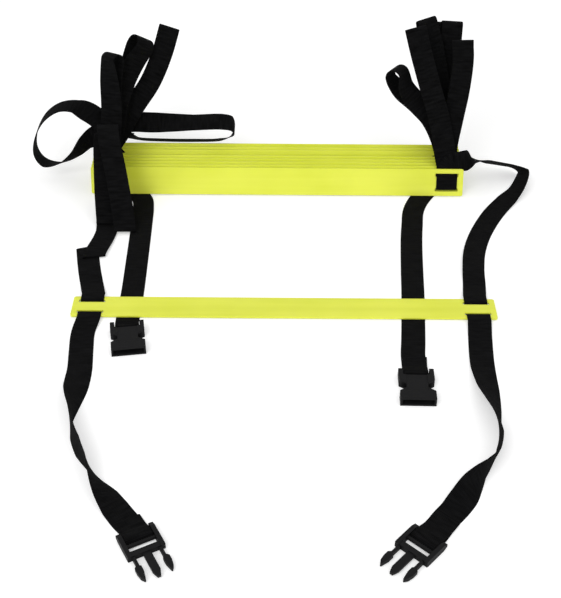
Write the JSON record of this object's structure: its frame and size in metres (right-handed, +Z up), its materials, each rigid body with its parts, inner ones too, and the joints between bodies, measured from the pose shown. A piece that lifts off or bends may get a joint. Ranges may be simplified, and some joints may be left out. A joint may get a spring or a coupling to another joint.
{
  "type": "agility ladder",
  "caption": "Packed agility ladder: flat lime plastic rungs stacked on edge on two looped black webbing straps with side-release buckles; one rung lies flat in front.",
  "frame": {"origin": "on the floor, under the middle of the box round the ladder without its four free end straps", "axes": "+X along the rungs, +Y from the loose rung to the stack, +Z up"},
  "size_m": [0.6026, 0.7136, 0.1901],
  "materials": {
    "lime_plastic": "satin moulded sheet",
    "black_webbing": "crosswise ribbed weave",
    "black_moulded": "fine matte mould texture"
  },
  "bodies": {
    "webbing": {"left_link_webbing": "black_webbing", "left_bundle_webbing": "black_webbing", "left_rear_strap": "black_webbing", "right_link_webbing": "black_webbing", "right_bundle_webbing": "black_webbing", "right_rear_strap": "black_webbing"},
    "loose_rung": {"rung_1": "lime_plastic", "left_rung_1_webbing": "black_webbing", "left_front_strap": "black_webbing", "right_rung_1_webbing": "black_webbing", "right_front_strap": "black_webbing"},
    "stack_rung_2": {"rung_2": "lime_plastic"},
    "stack_rung_3": {"rung_3": "lime_plastic"},
    "stack_rung_4": {"rung_4": "lime_plastic"},
    "stack_rung_5": {"rung_5": "lime_plastic"},
    "stack_rung_6": {"rung_6": "lime_plastic"},
    "stack_rung_7": {"rung_7": "lime_plastic"},
    "stack_rung_8": {"rung_8": "lime_plastic"},
    "stack_rung_9": {"rung_9": "lime_plastic"},
    "left_male_buckle": {"left_male_frame": "black_moulded"},
    "left_female_buckle": {"left_female_buckle": "black_moulded"},
    "left_male_prong_a": {"left_male_prong_a": "black_moulded"},
    "left_male_prong_b": {"left_male_prong_b": "black_moulded"},
    "right_male_buckle": {"right_male_frame": "black_moulded"},
    "right_female_buckle": {"right_female_buckle": "black_moulded"},
    "right_male_prong_a": {"right_male_prong_a": "black_moulded"},
    "right_male_prong_b": {"right_male_prong_b": "black_moulded"}
  },
  "joints": [
    {"name": "loose_rung_slide", "type": "slide", "parent": "webbing", "child": "loose_rung", "axis": [0, 1, 0], "range_m": [-0.006, 0.045], "deforming": ["left_link_webbing", "right_link_webbing"]},
    {"name": "rung_2_side_play", "type": "slide", "parent": "webbing", "child": "stack_rung_2", "axis": [1, 0, 0], "range_m": [-0.0012, 0.0012]},
    {"name": "rung_3_side_play", "type": "slide", "parent": "webbing", "child": "stack_rung_3", "axis": [1, 0, 0], "range_m": [-0.0012, 0.0012]},
    {"name": "rung_4_side_play", "type": "slide", "parent": "webbing", "child": "stack_rung_4", "axis": [1, 0, 0], "range_m": [-0.0012, 0.0012]},
    {"name": "rung_5_side_play", "type": "slide", "parent": "webbing", "child": "stack_rung_5", "axis": [1, 0, 0], "range_m": [-0.0012, 0.0012]},
    {"name": "rung_6_side_play", "type": "slide", "parent": "webbing", "child": "stack_rung_6", "axis": [1, 0, 0], "range_m": [-0.0012, 0.0012]},
    {"name": "rung_7_side_play", "type": "slide", "parent": "webbing", "child": "stack_rung_7", "axis": [1, 0, 0], "range_m": [-0.0012, 0.0012]},
    {"name": "rung_8_side_play", "type": "slide", "parent": "webbing", "child": "stack_rung_8", "axis": [1, 0, 0], "range_m": [-0.0012, 0.0012]},
    {"name": "rung_9_side_play", "type": "slide", "parent": "webbing", "child": "stack_rung_9", "axis": [1, 0, 0], "range_m": [-0.0012, 0.0012]},
    {"name": "left_male_lift", "type": "hinge", "parent": "loose_rung", "child": "left_male_buckle", "pos_m": [-0.11998, -0.31216, 0.0039], "axis": [-0.8829, -0.4695, 0], "range_deg": [0, 50]},
    {"name": "left_female_lift", "type": "hinge", "parent": "webbing", "child": "left_female_buckle", "pos_m": [-0.16028, -0.03236, 0.0046], "axis": [-0.989, -0.1478, 0], "range_deg": [0, 50]},
    {"name": "left_prong_a_bend", "type": "hinge", "parent": "left_male_buckle", "child": "left_male_prong_a", "pos_m": [-0.12221, -0.33373, 0.0035], "axis": [0, 0, 1], "range_deg": [0, 7], "stiffness_Nm_per_rad": 0.5},
    {"name": "left_prong_b_bend", "type": "hinge", "parent": "left_male_buckle", "child": "left_male_prong_b", "pos_m": [-0.10085, -0.32237, 0.0035], "axis": [0, 0, -1], "range_deg": [0, 7], "stiffness_Nm_per_rad": 0.5},
    {"name": "right_male_lift", "type": "hinge", "parent": "loose_rung", "child": "right_male_buckle", "pos_m": [0.12102, -0.31416, 0.0039], "axis": [-0.7431, 0.6691, 0], "range_deg": [0, 50]},
    {"name": "right_female_lift", "type": "hinge", "parent": "webbing", "child": "right_female_buckle", "pos_m": [0.13272, -0.10356, 0.0046], "axis": [-0.9998, 0.0175, 0], "range_deg": [0, 50]},
    {"name": "right_prong_a_bend", "type": "hinge", "parent": "right_male_buckle", "child": "right_male_prong_a", "pos_m": [0.09998, -0.31944, 0.0035], "axis": [0, 0, 1], "range_deg": [0, 7], "stiffness_Nm_per_rad": 0.5},
    {"name": "right_prong_b_bend", "type": "hinge", "parent": "right_male_buckle", "child": "right_male_prong_b", "pos_m": [0.11797, -0.33563, 0.0035], "axis": [0, 0, -1], "range_deg": [0, 7], "stiffness_Nm_per_rad": 0.5}
  ]
}
